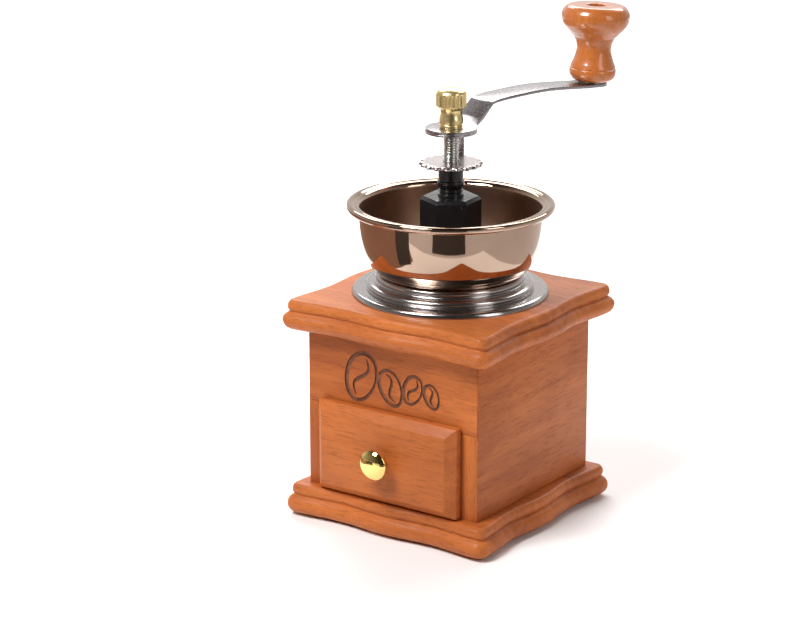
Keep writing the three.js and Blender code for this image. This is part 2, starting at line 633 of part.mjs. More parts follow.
// ---- Shaft, spring and burrs ----
function add_shaft_and_burrs() {
  const shaft_bottom = burr_bottom - 6;
  const shaft_top = crank_top + 9;
  const across = flat_half();
  const flat_bottom = lock_bottom - 0.2;
  const flat_top = crank_top + 0.2;
  const r = shaft_radius;
  const flats = [-1, 1].map((side) => solid(block(
    Math.min(side * across, side * r * 2), Math.max(side * across, side * r * 2), -r * 2, r * 2,
    flat_bottom, flat_top)));
  add_piece("shaft", cut(solid(turned([
    [0, shaft_bottom], [r - 0.5, shaft_bottom], [r, shaft_bottom + 0.5], [r, shaft_top - 0.5],
    [r - 0.5, shaft_top], [0, shaft_top],
  ], 24)), ...flats), "steel");

  const bore = r + running_gap;
  const cone = (radius_top, radius_bottom) => new THREE.CylinderGeometry(
    radius_top, radius_bottom, burr_height, 36).rotateX(Math.PI / 2).translate(0, 0, burr_bottom + burr_height / 2);
  const slant = Math.atan2(burr_bottom_radius - burr_top_radius, burr_height);
  const groove = (radius, turn, degrees) => solid(new THREE.BoxGeometry(1.6, 1.6, burr_height * 1.6)
    .rotateX(turn).rotateY(slant)
    .translate(radius, 0, burr_bottom + burr_height / 2)
    .rotateZ(radians(degrees)));
  const middle_radius = (burr_top_radius + burr_bottom_radius) / 2;
  const turns = Array.from({ length: burr_grooves }, (_, i) => i * 360 / burr_grooves);
  add_piece("inner_burr", cut(solid(cone(burr_top_radius, burr_bottom_radius)),
    solid(rod(bore, burr_bottom - 1, burr_top + 1)),
    ...turns.map((degrees) => groove(middle_radius + 0.1, -0.5, degrees))), "iron");

  const flange_bottom = lid_bottom - ring_burr_flange_thickness;
  const mouth = ring_burr_radius - 5;
  const body_bottom = burr_bottom - adjust_travel;
  const slope = (burr_bottom_radius - burr_top_radius) / burr_height;
  const foot_radius = burr_bottom_radius + burr_gap + slope * 0.5;
  const neck = flange_bottom - 1;
  const neck_radius = burr_bottom_radius + burr_gap - (neck - burr_bottom) * slope * 0.55;
  const holes = burr_screw_angles.map((degrees) => solid(rod(screw_radius + fit_gap,
    flange_bottom - 1, lid_bottom + 1,
    around_x(burr_screw_radius(), degrees), around_y(burr_screw_radius(), degrees), 12)));
  const ring = turned_ring([
    [foot_radius, body_bottom], [ring_burr_radius, body_bottom], [ring_burr_radius, flange_bottom],
    [ring_burr_flange_radius, flange_bottom], [ring_burr_flange_radius, lid_bottom], [mouth, lid_bottom],
    [neck_radius, neck], [burr_bottom_radius + burr_gap, burr_bottom],
  ], 36);
  add_piece("ring_burr", cut(solid(ring), ...holes,
    ...turns.map((degrees) => groove(burr_bottom_radius + 0.3, 0.4, degrees + 15))), "iron");

  burr_screw_angles.forEach((degrees, index) => {
    const piece = add_piece(`burr_screw_${index + 1}`,
      screw(screw_radius, screw_head_radius, ring_burr_flange_thickness + 7), "steel");
    piece.rotation.x = Math.PI;
    piece.position.set(around_x(burr_screw_radius(), degrees), around_y(burr_screw_radius(), degrees),
      flange_bottom);
  });

  add_piece("burr_nut", cut(
    solid(new THREE.CylinderGeometry(5.8, 5.8, 4, 6).rotateX(Math.PI / 2).translate(0, 0, burr_bottom - 2)),
    solid(rod(bore, burr_bottom - 5, burr_bottom + 1))), "steel");
  const washer_top = burr_top + 0.8;
  add_piece("spring_washer", turned_ring([
    [bore, burr_top], [7, burr_top], [7, washer_top], [bore, washer_top],
  ], 24), "steel");

  const spring_foot = washer_top + spring_wire + fit_gap;
  const spring_head = lid_top - spring_wire - fit_gap;
  class Helix extends THREE.Curve {
    getPoint(t, target = new THREE.Vector3()) {
      const angle = 2 * Math.PI * spring_turns * t;
      return target.set(spring_radius * Math.cos(angle), spring_radius * Math.sin(angle),
        spring_foot + (spring_head - spring_foot) * t);
    }
  }
  const wire = new THREE.Shape();
  wire.absarc(0, 0, spring_wire, 0, 2 * Math.PI, false);
  add_piece("spring", new THREE.ExtrudeGeometry(wire, {
    steps: spring_turns * 12, curveSegments: 3, extrudePath: new Helix(), bevelEnabled: false,
  }), "steel");
}

const burr_screw_radius = () => (ring_burr_radius + ring_burr_flange_radius) / 2;

add_box();
add_drawer();
add_bowl();
add_hub();
add_adjuster();
add_crank();
add_shaft_and_burrs();

export default grinder;
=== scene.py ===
# %% [markdown]
# # A hand-cranked coffee grinder
# The grinder is a stained wooden box with a drawer, a mirror-bright bowl on top, and a bent steel
# crank with a turned handle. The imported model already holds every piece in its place, so this
# lesson only replaces plain faceted pieces with smooth ones and paints them.

# %% The frame
import json
import math

import bmesh
import bpy
from mathutils import Matrix, Vector

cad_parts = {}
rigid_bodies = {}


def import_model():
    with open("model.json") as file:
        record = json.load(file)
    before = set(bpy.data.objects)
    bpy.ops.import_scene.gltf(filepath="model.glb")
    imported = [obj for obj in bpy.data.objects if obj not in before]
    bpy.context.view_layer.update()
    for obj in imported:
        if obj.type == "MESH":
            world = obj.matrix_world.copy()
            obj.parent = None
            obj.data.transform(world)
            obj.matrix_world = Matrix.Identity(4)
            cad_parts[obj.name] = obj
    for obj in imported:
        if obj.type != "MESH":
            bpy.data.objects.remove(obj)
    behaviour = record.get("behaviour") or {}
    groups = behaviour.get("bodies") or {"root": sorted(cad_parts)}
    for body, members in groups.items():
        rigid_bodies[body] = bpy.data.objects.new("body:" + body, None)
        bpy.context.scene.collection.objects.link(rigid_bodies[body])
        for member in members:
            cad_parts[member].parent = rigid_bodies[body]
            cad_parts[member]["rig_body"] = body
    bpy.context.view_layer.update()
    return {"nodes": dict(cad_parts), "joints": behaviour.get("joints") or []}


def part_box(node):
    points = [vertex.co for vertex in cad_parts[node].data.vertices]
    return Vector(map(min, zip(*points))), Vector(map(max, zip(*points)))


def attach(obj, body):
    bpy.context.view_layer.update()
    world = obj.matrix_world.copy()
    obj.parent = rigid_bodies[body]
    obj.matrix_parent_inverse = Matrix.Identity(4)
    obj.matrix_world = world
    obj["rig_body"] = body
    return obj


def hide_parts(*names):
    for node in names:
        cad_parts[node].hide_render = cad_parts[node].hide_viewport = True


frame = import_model()
MM = 0.001

# %% [markdown]
# ## Camera, floor and light
# A small object looks natural through a long lens from about a metre away. The floor is one big
# pale sheet, so that no horizon shows from here, and the light comes from large soft panels because a
# mirror-bright bowl shows everything that stands round it.

# %% Camera
AZIMUTH = math.radians(35.23)
ELEVATION = math.radians(16.89)
CAMERA_DISTANCE = 1.0708
LENS_MM = 123.37
AIM_SIDEWAYS = -0.0209
AIM_HEIGHT = 0.0804

back = Vector((
    math.sin(AZIMUTH) * math.cos(ELEVATION),
    -math.cos(AZIMUTH) * math.cos(ELEVATION),
    math.sin(ELEVATION),
))
aim = Vector((math.cos(AZIMUTH), math.sin(AZIMUTH), 0)) * AIM_SIDEWAYS
aim.z = AIM_HEIGHT
camera = bpy.data.objects.new("camera", bpy.data.cameras.new("camera"))
camera.data.lens = LENS_MM
camera.data.sensor_width = 36
camera.location = aim + back * CAMERA_DISTANCE
camera.rotation_mode = "QUATERNION"
camera.rotation_quaternion = (-back).to_track_quat("-Z", "Y")
bpy.context.scene.collection.objects.link(camera)
bpy.context.scene.camera = camera
bpy.context.scene.view_settings.view_transform = "Standard"

# %% [markdown]
# ## Shader maths
# A finish is easier to read as a formula than as a list of nodes. `Wire` wraps one socket and
# turns `+` and `*` into Math nodes, and `Finish.make` adds every other kind of node.

# %% Wires and finishes
BUMP_DEPTH = 0.0001


class Wire:
    def __init__(self, finish, socket):
        self.finish = finish
        self.socket = socket

    def maths(self, operation, first, second):
        return self.finish.make("ShaderNodeMath", {"operation": operation}, {0: first, 1: second})

    def __add__(self, other):
        return self.maths("ADD", self, other)

    def __mul__(self, other):
        return self.maths("MULTIPLY", self, other)


class Finish:
    def __init__(self, name, **constants):
        self.material = bpy.data.materials.new(name)
        self.material.use_nodes = True
        self.tree = self.material.node_tree
        self.shader = self.tree.nodes["Principled BSDF"]
        for socket, value in constants.items():
            self.shader.inputs[socket.replace("_", " ")].default_value = value

    def make(self, kind, settings, sockets, output=0):
        node = self.tree.nodes.new(kind)
        for key, value in settings.items():
            if key == "stops":
                while len(node.color_ramp.elements) < len(value):
                    node.color_ramp.elements.new(0.5)
                for element, (place, shade) in zip(node.color_ramp.elements, value):
                    element.position = place
                    element.color = (shade, shade, shade, 1)
            else:
                setattr(node, key, value)
        for key, value in sockets.items():
            if isinstance(value, Wire):
                self.tree.links.new(value.socket, node.inputs[key])
            else:
                node.inputs[key].default_value = value
        return Wire(self, node.outputs[output])

    def feed(self, socket, wire):
        self.tree.links.new(wire.socket, self.shader.inputs[socket])

    def place(self, scale=(1, 1, 1), turn=(0, 0, 0)):
        """Object coordinates, turned first and then stretched to `scale` noise units per metre."""
        here = self.make("ShaderNodeTexCoord", {}, {}, 3)
        turned = self.make("ShaderNodeMapping", {}, {"Vector": here, "Rotation": turn})
        return self.make("ShaderNodeMapping", {}, {"Vector": turned, "Scale": scale})

    def noise(self, where, detail=3.0, roughness=0.5, distortion=0.0):
        return self.make("ShaderNodeTexNoise", {}, {
            "Vector": where, "Scale": 1.0, "Detail": detail, "Roughness": roughness,
            "Distortion": distortion,
        })

    def ramp(self, wire, *stops):
        return self.make("ShaderNodeValToRGB", {"stops": stops}, {0: wire})

    def blend(self, mask, first, second):
        """Two colours mixed by a mask; each may be a plain colour or a wire."""
        colours = [c if isinstance(c, Wire) else (*c, 1) for c in (first, second)]
        return self.make("ShaderNodeMix", {"data_type": "RGBA"},
                         {0: mask, 6: colours[0], 7: colours[1]}, 2)

    def bump(self, height, strength):
        bumped = self.make("ShaderNodeBump", {}, {
            "Height": height, "Strength": strength, "Distance": BUMP_DEPTH})
        self.feed("Normal", bumped)


FINISHES = {}

# %% [markdown]
# ## Wood
# The wood is made to look like beech: pale, with short dark flecks a few millimetres long, all
# lying along the grain, under a red-brown stain and a satin lacquer. The pattern is built from
# stretched noise: slow noise for the stain, longer noise for the growth bands and fine noise for
# the flecks and pores. The stretch follows the board, so each grain direction is its own finish.

# %% Wood finishes
def wood(name, light, dark, fleck, grain_turn=(0, 0, 0), band=1.0, **constants):
    finish = Finish(name, **constants)
    stain = finish.noise(finish.place((14, 30, 30), grain_turn), 3, 0.55, 0.3)
    bands = finish.noise(finish.place((9, 170 * band, 170 * band), grain_turn), 4, 0.6, 0.6)
    flecks = finish.noise(finish.place((190, 1900, 1900), grain_turn), 2, 0.6)
    pores = finish.noise(finish.place((90, 4200, 4200), grain_turn), 2, 0.5)
    mottle = finish.ramp(stain * 0.55 + bands * 0.45, (0.36, 0), (0.66, 1))
    streaks = finish.ramp(flecks, (0.54, 0), (0.66, 1))
    tiny = finish.ramp(pores, (0.5, 0), (0.66, 1))
    colour = finish.blend(mottle, light, dark)
    colour = finish.blend(streaks * 0.36, colour, fleck)
    colour = finish.blend(tiny * 0.18, colour, fleck)
    finish.feed("Base Color", colour)
    rough = constants.get("Roughness", 0.4)
    finish.feed("Roughness", mottle * 0.08 + streaks * 0.1 + (rough - 0.05))
    finish.bump(streaks * -0.5 + bands * 0.5 + tiny * -0.3, 0.25)
    FINISHES[name] = finish.material


LIGHT_STAIN = (0.60, 0.172, 0.036)
DARK_STAIN = (0.36, 0.088, 0.019)
FLECK_STAIN = (0.14, 0.032, 0.009)
ALONG_Y = (0, 0, math.pi / 2)
ALONG_Z = (0, math.pi / 2, 0)
SATIN = {"Roughness": 0.5, "Coat_Weight": 0.12, "Coat_Roughness": 0.3, "Specular_IOR_Level": 0.22}
GLOSS = {"Roughness": 0.36, "Coat_Weight": 0.9, "Coat_Roughness": 0.05, "Specular_IOR_Level": 0.3}
wood("wood_across", LIGHT_STAIN, DARK_STAIN, FLECK_STAIN, **SATIN)
wood("wood_deep", LIGHT_STAIN, DARK_STAIN, FLECK_STAIN, ALONG_Y, **SATIN)
wood("wood_upright", LIGHT_STAIN, DARK_STAIN, FLECK_STAIN, ALONG_Z, **SATIN)
wood("wood_plain", (0.62, 0.41, 0.22), (0.52, 0.32, 0.16), (0.36, 0.2, 0.09), Roughness=0.6)
wood("wood_handle", (0.56, 0.17, 0.035), (0.40, 0.095, 0.014), (0.24, 0.05, 0.008), ALONG_Z, 0.7, **GLOSS)
print("wood finishes:", sorted(FINISHES))

# %% [markdown]
# ## Burnt wood
# The motif on the front is pressed and burnt in. Its floor is the same wood, darker and duller,
# with a charred unevenness a millimetre or two across.

# %% Burnt finish
burnt = Finish("wood_burnt", Roughness=0.7)
char = burnt.noise(burnt.place((500, 900, 900)), 3)
scorch = burnt.ramp(char, (0.35, 0), (0.7, 1))
burnt.feed("Base Color", burnt.blend(scorch, (0.15, 0.05, 0.02), (0.24, 0.08, 0.035)))
burnt.bump(char, 0.4)
FINISHES["wood_burnt"] = burnt.material

# %% [markdown]
# ## Metals, plastic and rubber
# Each metal is told apart by its colour and by how it was finished. The bowl is polished to a
# mirror outside and is duller inside, and its inside is also painted darker: painted shade for
# the hollow that mostly reflects itself. The crank is a polished strip with a faint unevenness,
# the disc is zinc plated, the nut is pale brass and the drawer knob is a smoother gold. Faint
# noise in the roughness keeps reflections from looking computed.

# %% Metal finishes
def metal(name, colour, tint, roughness, variation, grain, relief=0.0):
    finish = Finish(name, Metallic=1.0)
    cloud = finish.noise(finish.place(grain), 3, 0.6)
    wear = finish.ramp(cloud, (0.3, 0), (0.75, 1))
    finish.feed("Base Color", finish.blend(wear, colour, tint))
    finish.feed("Roughness", wear * variation + roughness)
    if relief:
        finish.bump(cloud, relief)
    FINISHES[name] = finish.material


metal("bowl_mirror", (0.50, 0.365, 0.28), (0.46, 0.33, 0.25), 0.04, 0.03, (60, 60, 60))
# The inside is rougher, and its darker colour is painted shade that stands in for the dim hollow.
metal("bowl_inside_painted_shade", (0.38, 0.24, 0.17), (0.28, 0.17, 0.12), 0.34, 0.12, (60, 60, 60))
metal("ring_chrome", (0.52, 0.49, 0.48), (0.36, 0.335, 0.33), 0.14, 0.1, (150, 150, 900))
metal("crank_polish", (0.45, 0.42, 0.43), (0.37, 0.345, 0.355), 0.22, 0.1, (900, 900, 900), 0.15)
metal("disc_plating", (0.66, 0.60, 0.59), (0.52, 0.46, 0.46), 0.2, 0.1, (700, 700, 700), 0.1)
metal("thread_steel", (0.70, 0.70, 0.66), (0.52, 0.52, 0.49), 0.2, 0.12, (900, 900, 900))
metal("screw_zinc", (0.60, 0.60, 0.59), (0.48, 0.48, 0.47), 0.28, 0.12, (900, 900, 900))
metal("nut_brass", (0.97, 0.79, 0.41), (0.91, 0.71, 0.32), 0.26, 0.1, (500, 500, 500))
metal("knob_gold", (0.97, 0.76, 0.30), (0.93, 0.69, 0.22), 0.06, 0.04, (200, 200, 200))
metal("burr_casting", (0.16, 0.16, 0.165), (0.09, 0.09, 0.095), 0.45, 0.2, (1500, 1500, 1500), 0.5)


# %% Plastic and rubber finishes
def moulded(name, colour, tint, roughness, variation, grain, relief, **constants):
    finish = Finish(name, **constants)
    cloud = finish.noise(finish.place((grain, grain, grain)), 3, 0.6)
    finish.feed("Base Color", finish.blend(cloud, colour, tint))
    finish.feed("Roughness", cloud * variation + roughness)
    finish.bump(cloud, relief)
    FINISHES[name] = finish.material


moulded("hub_black", (0.006, 0.006, 0.007), (0.012, 0.012, 0.013), 0.16, 0.14, 500, 0.12,
        Coat_Weight=0.3, Coat_Roughness=0.1)
moulded("pad_black", (0.02, 0.02, 0.02), (0.035, 0.035, 0.034), 0.8, 0.15, 1800, 0.5)
moulded("floor_pale", (0.93, 0.93, 0.93), (0.94, 0.94, 0.94), 0.6, 0.1, 4, 0.0)
moulded("mat_umber", (0.50, 0.47, 0.46), (0.56, 0.53, 0.52), 0.8, 0.1, 9, 0.0)
moulded("mat_brown", (0.20, 0.10, 0.06), (0.24, 0.12, 0.075), 0.8, 0.1, 9, 0.0)
moulded("card_black", (0.02, 0.014, 0.01), (0.03, 0.02, 0.015), 0.8, 0.1, 9, 0.0)
print("finishes:", len(FINISHES))

# %% [markdown]
# ## The studio
# A panel high in front gives the soft highlights on the handle and the mouldings, a weak one fills
# the right side, and a broad one lights the floor behind. The world is bright at the horizon behind
# the object, dark on the near side and dimmer overhead. Lamps and mats were placed one by one.

# %% Floor, lamps and world
floor_mesh = bpy.data.meshes.new("floor")
FLOOR_HALF = 6.0
floor_mesh.from_pydata(
    [(x * FLOOR_HALF, y * FLOOR_HALF, 0) for x, y in ((-1, -1), (1, -1), (1, 1), (-1, 1))],
    [], [(0, 1, 2, 3)])
floor_mesh.materials.append(FINISHES["floor_pale"])
floor = bpy.data.objects.new("floor", floor_mesh)
bpy.context.scene.collection.objects.link(floor)


def mat(name, finish, height, *corners):
    """A flat sheet beside the object: its corners are metres across and metres towards the eye."""
    ahead = Vector((math.sin(AZIMUTH), -math.cos(AZIMUTH)))
    across = Vector((math.cos(AZIMUTH), math.sin(AZIMUTH)))
    sheet = bpy.data.meshes.new(name)
    sheet.from_pydata([(*(across * x + ahead * y), height) for x, y in corners], [], [(0, 1, 2, 3)])
    sheet.materials.append(FINISHES[finish])
    laid = bpy.data.objects.new(name, sheet)
    bpy.context.scene.collection.objects.link(laid)
    laid.visible_camera = laid.visible_diffuse = laid.visible_shadow = False


# The bowl is a mirror, so what lies on the floor round it shows in its wall. The mats are seen in
# reflections alone.
mat("front_mat", "mat_umber", 0.001, (-0.9, 0.21), (0.9, 0.21), (0.9, 1.6), (-0.9, 1.6))
mat("right_mat", "mat_umber", 0.001, (0.17, -0.6), (0.9, -0.6), (0.9, 0.21), (0.17, 0.21))
mat("left_mat", "mat_brown", 0.002, (-0.9, -0.6), (-0.14, -0.6), (-0.14, 0.12), (-0.9, 0.6))
mat("left_card", "card_black", 0.003, (-0.15, 0.05), (-0.9, 0.3), (-0.8, 0.62), (-0.13, 0.1))
mat("middle_card", "card_black", 0.002, (-0.1, 0.23), (0.07, 0.23), (0.36, 1.3), (-0.5, 1.3))


def lamp(name, place, target, size, power):
    data = bpy.data.lights.new(name, "AREA")
    data.shape = "RECTANGLE"
    data.size, data.size_y = size
    data.energy = power
    light = bpy.data.objects.new(name, data)
    light.location = place
    light.rotation_euler = (Vector(target) - Vector(place)).to_track_quat("-Z", "Y").to_euler()
    bpy.context.scene.collection.objects.link(light)


MIDDLE = (0, 0, 0.1)
lamp("key_panel", (-0.22, -0.72, 1.05), MIDDLE, (0.45, 0.45), 16.0)
lamp("right_panel", (0.95, -0.10, 0.55), MIDDLE, (0.35, 0.7), 2.2)
lamp("back_panel", (-0.45, 0.9, 1.0), (-0.2, 0.3, 0), (1.6, 0.7), 22)

# The world is a room whose far end is a bright wall and whose near end is dark.
world = bpy.data.worlds.new("studio")
world.use_nodes = True
bpy.context.scene.world = world


def world_node(kind, source=None):
    node = world.node_tree.nodes.new(kind)
    if source:
        world.node_tree.links.new(source, node.inputs[0])
    return node


direction = world_node("ShaderNodeTexCoord")
facing = world_node("ShaderNodeMapping", direction.outputs["Generated"])
facing.inputs["Rotation"].default_value = (0, 0, -AZIMUTH)
split = world_node("ShaderNodeSeparateXYZ", facing.outputs[0])
depth = world_node("ShaderNodeMapRange", split.outputs[1])
depth.inputs["From Min"].default_value = -1.0
room = world_node("ShaderNodeValToRGB", depth.outputs[0])
for element, place, shade in (
        (room.color_ramp.elements[0], 0.05, (0.05, 0.042, 0.036, 1)),
        (room.color_ramp.elements[1], 0.95, (1.0, 0.98, 0.96, 1))):
    element.position, element.color = place, shade
middle = room.color_ramp.elements.new(0.5)
middle.color = (0.42, 0.38, 0.35, 1)
ceiling = world_node("ShaderNodeValToRGB", split.outputs[2])
ceiling.color_ramp.elements[0].position = 0.25
ceiling.color_ramp.elements[0].color = (1, 1, 1, 1)
ceiling.color_ramp.elements[1].position = 0.8
ceiling.color_ramp.elements[1].color = (0.16, 0.14, 0.13, 1)
sky = world_node("ShaderNodeMix")
sky.data_type = "RGBA"
sky.blend_type = "MULTIPLY"
sky.inputs[0].default_value = 1.0
world.node_tree.links.new(room.outputs[0], sky.inputs[6])
world.node_tree.links.new(ceiling.outputs[0], sky.inputs[7])
world.node_tree.links.new(sky.outputs[2], world.node_tree.nodes["Background"].inputs[0])
world.node_tree.nodes["Background"].inputs[1].default_value = 0.8

# %% [markdown]
# ## Reading places from the model
# Pieces take their places from the model. `low` and `high` read a piece's corners from it, in
# millimetres, and every smooth piece is finished by `finish_piece`: it gets its paint, rides on
# its body and stands in for the faceted pieces that it replaces.

# %% Places and finishing
def low(node):
    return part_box(node)[0] / MM


def high(node):
    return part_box(node)[1] / MM


def body_of_node(node):
    return frame["nodes"][node]["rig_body"]


def in_millimetres(mesh):
    """An editable copy of a mesh, scaled up from metres."""
    bm = bmesh.new()
    bm.from_mesh(mesh)
    bmesh.ops.scale(bm, vec=(1 / MM,) * 3, verts=bm.verts)
    return bm


def in_metres(name, bm):
    """A mesh made from an editable one in millimetres, which is used up."""
    bmesh.ops.scale(bm, vec=(MM,) * 3, verts=bm.verts)
    mesh = bpy.data.meshes.new(name)
    bm.to_mesh(mesh)
    bm.free()
    return mesh


def finish_piece(name, bm, finishes, nodes, sharp_degrees=32):
    """bm is in millimetres and takes the place of the named CAD nodes."""
    mesh = in_metres(name, bm)
    for polygon in mesh.polygons:
        polygon.use_smooth = True
    mesh.set_sharp_from_angle(angle=math.radians(sharp_degrees))
    for finish in finishes:
        mesh.materials.append(FINISHES[finish])
    piece = bpy.data.objects.new(name, mesh)
    bpy.context.scene.collection.objects.link(piece)
    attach(piece, body_of_node(nodes[0]))
    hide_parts(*nodes)
    return piece


# %% [markdown]
# ## Turned pieces
# Many pieces are round about an axis: the bowl, ring, sleeve, disc, nut, shaft, bolt, handle and
# drawer knob. Each is a profile of radius and height carried round that axis. A point may carry
# a third number, the size of the curve that takes off its corner.

# %% Profiles and turning
CUT_SHARE = 0.48  # a curve takes at most this share of the edge on either side


def eased(points, closed=False, steps=4):
    """The profile with each marked corner turned into a short curve."""
    result = []
    count = len(points)
    for i, point in enumerate(points):
        at_end = not closed and i in (0, count - 1)
        here = Vector(point[:2])
        if len(point) < 3 or at_end:
            result.append(here)
            continue
        before = Vector(points[i - 1][:2]) - here
        after = Vector(points[(i + 1) % count][:2]) - here
        cut = min(point[2], before.length * CUT_SHARE, after.length * CUT_SHARE)
        start = here + before.normalized() * cut
        end = here + after.normalized() * cut
        for step in range(steps + 1):
            t = step / steps
            result.append(start * (1 - t) ** 2 + here * 2 * t * (1 - t) + end * t * t)
    return result


def turned(profile, segments=128, closed=False, ripple=None):
    """A turned piece; profiles run upwards along the outside, and a ring's profile is closed."""
    bm = bmesh.new()
    rows = []
    for radius, height in profile:
        if radius < 1e-6:
            rows.append([bm.verts.new((0, 0, height))] * segments)
            continue
        row = []
        for i in range(segments):
            angle = 2 * math.pi * i / segments
            r = radius + (ripple(angle, radius, height) if ripple else 0)
            row.append(bm.verts.new((r * math.cos(angle), r * math.sin(angle), height)))
        rows.append(row)
    pairs = list(zip(rows, rows[1:]))
    if closed:
        pairs.append((rows[-1], rows[0]))
    for lower, upper in pairs:
        for i in range(segments):
            j = (i + 1) % segments
            corners = [lower[i], lower[j], upper[j], upper[i]]
            unique = [v for k, v in enumerate(corners) if v not in corners[:k]]
            if len(unique) > 2:
                bm.faces.new(unique)
    bmesh.ops.recalc_face_normals(bm, faces=bm.faces)
    return bm


def moved(bm, matrix):
    bmesh.ops.transform(bm, matrix=matrix, verts=bm.verts)
    return bm


# %% [markdown]
# ## Sawn and pressed pieces
# Boards, pressed plates and the crank already have the right shape in the model, but their edges
# are knife-sharp. A copy is merged back into whole faces and its edges are eased by a fraction of
# a millimetre, so that they catch the light as worked edges do.

# %% Easing the edges of a copy
def eased_copy(node, edge, sharp_degrees=30):
    bm = in_millimetres(frame["nodes"][node].data)
    bmesh.ops.remove_doubles(bm, verts=bm.verts, dist=0.002)
    bmesh.ops.dissolve_limit(bm, angle_limit=math.radians(0.5), verts=bm.verts, edges=bm.edges)
    keen = [e for e in bm.edges if len(e.link_faces) == 2
            and e.calc_face_angle(0) > math.radians(sharp_degrees)]
    bmesh.ops.bevel(bm, geom=keen, offset=edge, segments=3, profile=0.5,
                    affect="EDGES", clamp_overlap=True)
    return bm


# %% [markdown]
# ## The moulded boards
# The base and the lid carry nearly the same moulding: a broad lower lip, a cove and a narrower
# bead. In plan the sides are not straight. They swing in a shallow wave that is furthest out at
# the corners and at the middle, which is why each height of the moulding is a loop of the same
# outline, set in by a different amount.

# %% Boards
BOARD_WAVE = 1.6
BOARD_CORNER = 4.5
SIDE_STEPS, CORNER_STEPS = 56, 10


def scooped_outline(half, corner):
    points = []
    straight = half - corner
    for side in range(4):
        turn = Matrix.Rotation(side * math.pi / 2, 2)
        for i in range(SIDE_STEPS):
            t = -1 + 2 * i / SIDE_STEPS
            scoop = BOARD_WAVE * (1 - math.cos(2 * math.pi * t)) / 2
            points.append(turn @ Vector((half - scoop, straight * t)))
        for i in range(CORNER_STEPS):
            angle = i / CORNER_STEPS * math.pi / 2
            points.append(turn @ Vector((
                straight + corner * math.cos(angle), straight + corner * math.sin(angle))))
    return points


def moulded_board(half, levels):
    """levels are (how far in, height), from the underside up."""
    bm = bmesh.new()
    loops = []
    for inset, height in levels:
        corner = max(BOARD_CORNER - inset * 0.7, 1.0)
        loops.append([bm.verts.new((*point, height)) for point in scooped_outline(half - inset, corner)])
    for lower, upper in zip(loops, loops[1:]):
        for i in range(len(lower)):
            j = (i + 1) % len(lower)
            bm.faces.new((lower[i], lower[j], upper[j], upper[i]))
    bm.faces.new(reversed(loops[0]))
    bm.faces.new(loops[-1])
    return bm


def boolean(bm, cutter):
    """One closed shape cut out of another; the cutter's finish index is kept on the cut."""
    objects = []
    for part in (bm, cutter):
        mesh = bpy.data.meshes.new("part")
        part.to_mesh(mesh)
        part.free()
        for finish in ("wood_across", "wood_burnt"):
            mesh.materials.append(FINISHES[finish])
        objects.append(bpy.data.objects.new("part", mesh))
        bpy.context.scene.collection.objects.link(objects[-1])
    modifier = objects[0].modifiers.new("cut", "BOOLEAN")
    modifier.operation = "DIFFERENCE"
    modifier.object = objects[1]
    modifier.solver = "EXACT"
    depsgraph = bpy.context.evaluated_depsgraph_get()
    result = bpy.data.meshes.new_from_object(objects[0].evaluated_get(depsgraph))
    whole = bmesh.new()
    whole.from_mesh(result)
    for item in objects:
        bpy.data.objects.remove(item)
    return whole


def plug(radius, bottom, top):
    return turned([(0, bottom), (radius, bottom), (radius, top), (0, top)], 96)


lid_top = high("top_plate").z
LID_LEVELS = [
    (5.0, 0), (3.6, 0), (2.2, 0.35), (1.1, 1.1), (0.4, 2.2), (0.05, 3.4), (0.0, 4.3), (0.3, 5.2), (1.0, 6.0),
    (1.75, 6.6), (2.3, 7.0), (2.55, 7.3), (2.5, 7.6), (2.15, 7.95), (1.9, 8.5), (1.85, 9.2), (1.95, 10.0),
    (2.3, 10.9), (2.9, 11.6), (3.7, 11.95), (4.6, 12.0),
]
BASE_LEVELS = [
    (3.4, 0), (2.4, 0.1), (1.4, 0.5), (0.6, 1.3), (0.1, 2.5), (0.0, 3.6), (0.2, 4.8), (0.7, 5.8), (1.5, 6.6),
    (2.2, 7.05), (2.6, 7.35), (2.6, 7.6), (2.25, 7.95), (1.95, 8.5), (1.85, 9.3), (1.9, 10.1), (2.2, 10.9),
    (2.8, 11.6), (3.6, 11.95), (4.6, 12.0),
]
lid_bottom = low("top_plate").z
base_bottom = low("base_plate").z
THROAT_RADIUS = 21.0
lid = moulded_board(high("top_plate").x, [(inset, lid_bottom + level) for inset, level in LID_LEVELS])
lid = boolean(lid, plug(THROAT_RADIUS, lid_bottom - 1, lid_top + 1))
for face in lid.faces:
    face.material_index = 0
finish_piece("lid_board", lid, ["wood_across"], ["top_plate"])
base = moulded_board(high("base_plate").x, [(inset, base_bottom + level) for inset, level in BASE_LEVELS])
finish_piece("base_board", base, ["wood_across"], ["base_plate"])
print("boards stand", round(lid_top, 2), "mm high")

# %% [markdown]
# ## The box
# Three boards make the sides and back, and the front is a rail over two narrow stiles. The grain
# runs the long way of each board: across on the rail, upright on the stiles and along the sides.

# %% Box boards
EDGE = 0.45
for node, grain in (
    ("left_panel", "wood_deep"), ("right_panel", "wood_deep"), ("back_panel", "wood_across"),
    ("front_left_stile", "wood_upright"), ("front_right_stile", "wood_upright"),
):
    finish_piece(node + "_board", eased_copy(node, EDGE), [grain], [node])

# %% [markdown]
# ## The burnt motif
# The rail carries a row of coffee beans, from a large one to small ones. Each bean is an oval
# line with an S-shaped crease. A line is a flat ribbon of changing width, made solid and sunk into
# the board with a boolean, so the groove has real walls and its own burnt finish.

# %% Front rail with its motif
GROOVE_DEPTH = 0.6


